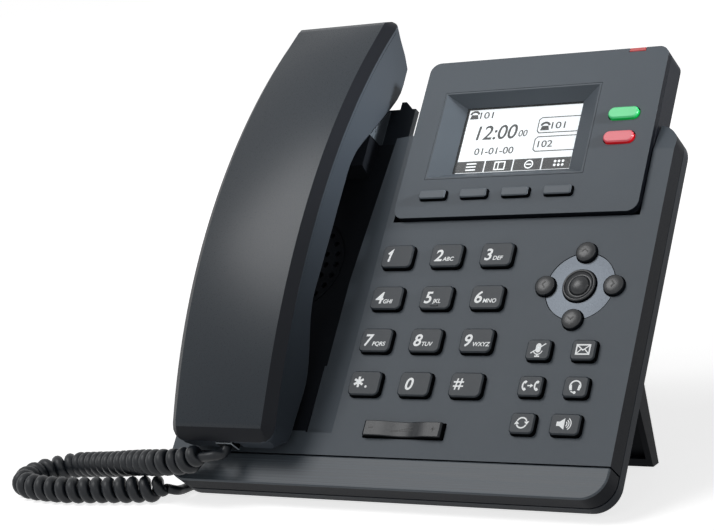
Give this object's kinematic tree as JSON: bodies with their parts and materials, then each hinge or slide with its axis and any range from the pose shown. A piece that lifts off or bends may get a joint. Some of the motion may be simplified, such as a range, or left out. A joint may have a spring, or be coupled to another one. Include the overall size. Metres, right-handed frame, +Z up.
{
  "type": "desk ip phone",
  "caption": "Desk telephone with corded handset on a cradle, sloping keypad face, tilted display module and rear stand.",
  "frame": {"origin": "on the desk, under the centre of the telephone's box without its cord", "axes": "+Z up from the desk; +Y from the user to the back; +X to the user's right"},
  "size_m": [0.272, 0.1427, 0.1732],
  "materials": {
    "front_shell": "satin",
    "rear_shell": "satin",
    "trim_strip": "satin",
    "speaker_driver": "smooth",
    "keypad_membrane": "satin",
    "main_board": "satin",
    "nav_disc": "smooth",
    "display_bezel": "satin",
    "display_housing": "satin",
    "lcd_frame": "satin",
    "lcd_lens": "smooth",
    "lcd_panel": "satin",
    "message_lamp": "satin",
    "stand": "satin",
    "rubber_feet": "satin",
    "network_sockets": "satin",
    "cord_sockets": "satin",
    "power_socket": "satin",
    "hook_plunger": "satin",
    "keys": "satin",
    "line_key_green": "satin",
    "line_key_red": "satin",
    "handset_cover": "satin",
    "handset_grip": "satin",
    "receiver_capsule": "satin",
    "microphone_capsule": "satin",
    "handset_socket": "satin",
    "handset_plug": "satin",
    "cord": "satin",
    "base_plug": "satin"
  },
  "bodies": {
    "base": {"front_shell": "front_shell", "rear_shell": "rear_shell", "trim_strip": "trim_strip", "speaker_driver": "speaker_driver", "keypad_membrane": "keypad_membrane", "main_board": "main_board", "nav_disc": "nav_disc", "display_bezel": "display_bezel", "display_housing": "display_housing", "lcd_frame": "lcd_frame", "lcd_lens": "lcd_lens", "lcd_panel": "lcd_panel", "message_lamp": "message_lamp", "stand": "stand", "rubber_feet": "rubber_feet", "network_sockets": "network_sockets", "cord_sockets": "cord_sockets", "power_socket": "power_socket", "cord_coil": "cord", "base_tail": "cord", "base_plug": "base_plug"},
    "handset": {"handset_cover": "handset_cover", "handset_grip": "handset_grip", "receiver_capsule": "receiver_capsule", "microphone_capsule": "microphone_capsule", "handset_socket": "handset_socket", "handset_plug": "handset_plug", "handset_tail": "cord"},
    "hook": {"hook_plunger": "hook_plunger"},
    "volume_rocker": {"volume_rocker": "keys"},
    "nav_up": {"nav_up": "keys"},
    "nav_down": {"nav_down": "keys"},
    "nav_left": {"nav_left": "keys"},
    "nav_right": {"nav_right": "keys"},
    "nav_ok": {"nav_ok": "keys"},
    "key_1": {"key_1": "keys"},
    "key_2": {"key_2": "keys"},
    "key_3": {"key_3": "keys"},
    "key_4": {"key_4": "keys"},
    "key_5": {"key_5": "keys"},
    "key_6": {"key_6": "keys"},
    "key_7": {"key_7": "keys"},
    "key_8": {"key_8": "keys"},
    "key_9": {"key_9": "keys"},
    "key_star": {"key_star": "keys"},
    "key_0": {"key_0": "keys"},
    "key_hash": {"key_hash": "keys"},
    "key_mute": {"key_mute": "keys"},
    "key_message": {"key_message": "keys"},
    "key_transfer": {"key_transfer": "keys"},
    "key_headset": {"key_headset": "keys"},
    "key_redial": {"key_redial": "keys"},
    "key_speaker": {"key_speaker": "keys"},
    "soft_key_1": {"soft_key_1": "keys"},
    "soft_key_2": {"soft_key_2": "keys"},
    "soft_key_3": {"soft_key_3": "keys"},
    "soft_key_4": {"soft_key_4": "keys"},
    "line_key_green": {"line_key_green": "line_key_green"},
    "line_key_red": {"line_key_red": "line_key_red"}
  },
  "joints": [
    {"name": "handset_lift", "type": "slide", "parent": "base", "child": "handset", "axis": [0, -0.766, 0.6428], "range_m": [0, 0.06], "deforming": ["handset_tail"]},
    {"name": "hook_rise", "type": "slide", "parent": "base", "child": "hook", "axis": [0, -0.766, 0.6428], "range_m": [0, 0.003]},
    {"name": "volume_rocker_tilt", "type": "hinge", "parent": "base", "child": "volume_rocker", "pos_m": [0.009, -0.04544, 0.0257], "axis": [0, 0.6428, 0.766], "range_deg": [-3, 3], "stiffness_Nm_per_rad": 0.05},
    {"name": "nav_up_press", "type": "slide", "parent": "base", "child": "nav_up", "axis": [0, 0.766, -0.6428], "range_m": [0, 0.0012], "stiffness_N_per_m": 500},
    {"name": "nav_down_press", "type": "slide", "parent": "base", "child": "nav_down", "axis": [0, 0.766, -0.6428], "range_m": [0, 0.0012], "stiffness_N_per_m": 500},
    {"name": "nav_left_press", "type": "slide", "parent": "base", "child": "nav_left", "axis": [0, 0.766, -0.6428], "range_m": [0, 0.0012], "stiffness_N_per_m": 500},
    {"name": "nav_right_press", "type": "slide", "parent": "base", "child": "nav_right", "axis": [0, 0.766, -0.6428], "range_m": [0, 0.0012], "stiffness_N_per_m": 500},
    {"name": "nav_ok_press", "type": "slide", "parent": "base", "child": "nav_ok", "axis": [0, 0.766, -0.6428], "range_m": [0, 0.0012], "stiffness_N_per_m": 500},
    {"name": "key_1_press", "type": "slide", "parent": "base", "child": "key_1", "axis": [0, 0.766, -0.6428], "range_m": [0, 0.0012], "stiffness_N_per_m": 500},
    {"name": "key_2_press", "type": "slide", "parent": "base", "child": "key_2", "axis": [0, 0.766, -0.6428], "range_m": [0, 0.0012], "stiffness_N_per_m": 500},
    {"name": "key_3_press", "type": "slide", "parent": "base", "child": "key_3", "axis": [0, 0.766, -0.6428], "range_m": [0, 0.0012], "stiffness_N_per_m": 500},
    {"name": "key_4_press", "type": "slide", "parent": "base", "child": "key_4", "axis": [0, 0.766, -0.6428], "range_m": [0, 0.0012], "stiffness_N_per_m": 500},
    {"name": "key_5_press", "type": "slide", "parent": "base", "child": "key_5", "axis": [0, 0.766, -0.6428], "range_m": [0, 0.0012], "stiffness_N_per_m": 500},
    {"name": "key_6_press", "type": "slide", "parent": "base", "child": "key_6", "axis": [0, 0.766, -0.6428], "range_m": [0, 0.0012], "stiffness_N_per_m": 500},
    {"name": "key_7_press", "type": "slide", "parent": "base", "child": "key_7", "axis": [0, 0.766, -0.6428], "range_m": [0, 0.0012], "stiffness_N_per_m": 500},
    {"name": "key_8_press", "type": "slide", "parent": "base", "child": "key_8", "axis": [0, 0.766, -0.6428], "range_m": [0, 0.0012], "stiffness_N_per_m": 500},
    {"name": "key_9_press", "type": "slide", "parent": "base", "child": "key_9", "axis": [0, 0.766, -0.6428], "range_m": [0, 0.0012], "stiffness_N_per_m": 500},
    {"name": "key_star_press", "type": "slide", "parent": "base", "child": "key_star", "axis": [0, 0.766, -0.6428], "range_m": [0, 0.0012], "stiffness_N_per_m": 500},
    {"name": "key_0_press", "type": "slide", "parent": "base", "child": "key_0", "axis": [0, 0.766, -0.6428], "range_m": [0, 0.0012], "stiffness_N_per_m": 500},
    {"name": "key_hash_press", "type": "slide", "parent": "base", "child": "key_hash", "axis": [0, 0.766, -0.6428], "range_m": [0, 0.0012], "stiffness_N_per_m": 500},
    {"name": "key_mute_press", "type": "slide", "parent": "base", "child": "key_mute", "axis": [0, 0.766, -0.6428], "range_m": [0, 0.0012], "stiffness_N_per_m": 500},
    {"name": "key_message_press", "type": "slide", "parent": "base", "child": "key_message", "axis": [0, 0.766, -0.6428], "range_m": [0, 0.0012], "stiffness_N_per_m": 500},
    {"name": "key_transfer_press", "type": "slide", "parent": "base", "child": "key_transfer", "axis": [0, 0.766, -0.6428], "range_m": [0, 0.0012], "stiffness_N_per_m": 500},
    {"name": "key_headset_press", "type": "slide", "parent": "base", "child": "key_headset", "axis": [0, 0.766, -0.6428], "range_m": [0, 0.0012], "stiffness_N_per_m": 500},
    {"name": "key_redial_press", "type": "slide", "parent": "base", "child": "key_redial", "axis": [0, 0.766, -0.6428], "range_m": [0, 0.0012], "stiffness_N_per_m": 500},
    {"name": "key_speaker_press", "type": "slide", "parent": "base", "child": "key_speaker", "axis": [0, 0.766, -0.6428], "range_m": [0, 0.0012], "stiffness_N_per_m": 500},
    {"name": "soft_key_1_press", "type": "slide", "parent": "base", "child": "soft_key_1", "axis": [0, 0.766, -0.6428], "range_m": [0, 0.0012], "stiffness_N_per_m": 500},
    {"name": "soft_key_2_press", "type": "slide", "parent": "base", "child": "soft_key_2", "axis": [0, 0.766, -0.6428], "range_m": [0, 0.0012], "stiffness_N_per_m": 500},
    {"name": "soft_key_3_press", "type": "slide", "parent": "base", "child": "soft_key_3", "axis": [0, 0.766, -0.6428], "range_m": [0, 0.0012], "stiffness_N_per_m": 500},
    {"name": "soft_key_4_press", "type": "slide", "parent": "base", "child": "soft_key_4", "axis": [0, 0.766, -0.6428], "range_m": [0, 0.0012], "stiffness_N_per_m": 500},
    {"name": "line_key_green_press", "type": "slide", "parent": "base", "child": "line_key_green", "axis": [0, 0.766, -0.6428], "range_m": [0, 0.0012], "stiffness_N_per_m": 500},
    {"name": "line_key_red_press", "type": "slide", "parent": "base", "child": "line_key_red", "axis": [0, 0.766, -0.6428], "range_m": [0, 0.0012], "stiffness_N_per_m": 500}
  ],
  "couplings": [
    {"joint": "hook_rise", "follows": "handset_lift", "ratio": 0.05}
  ]
}
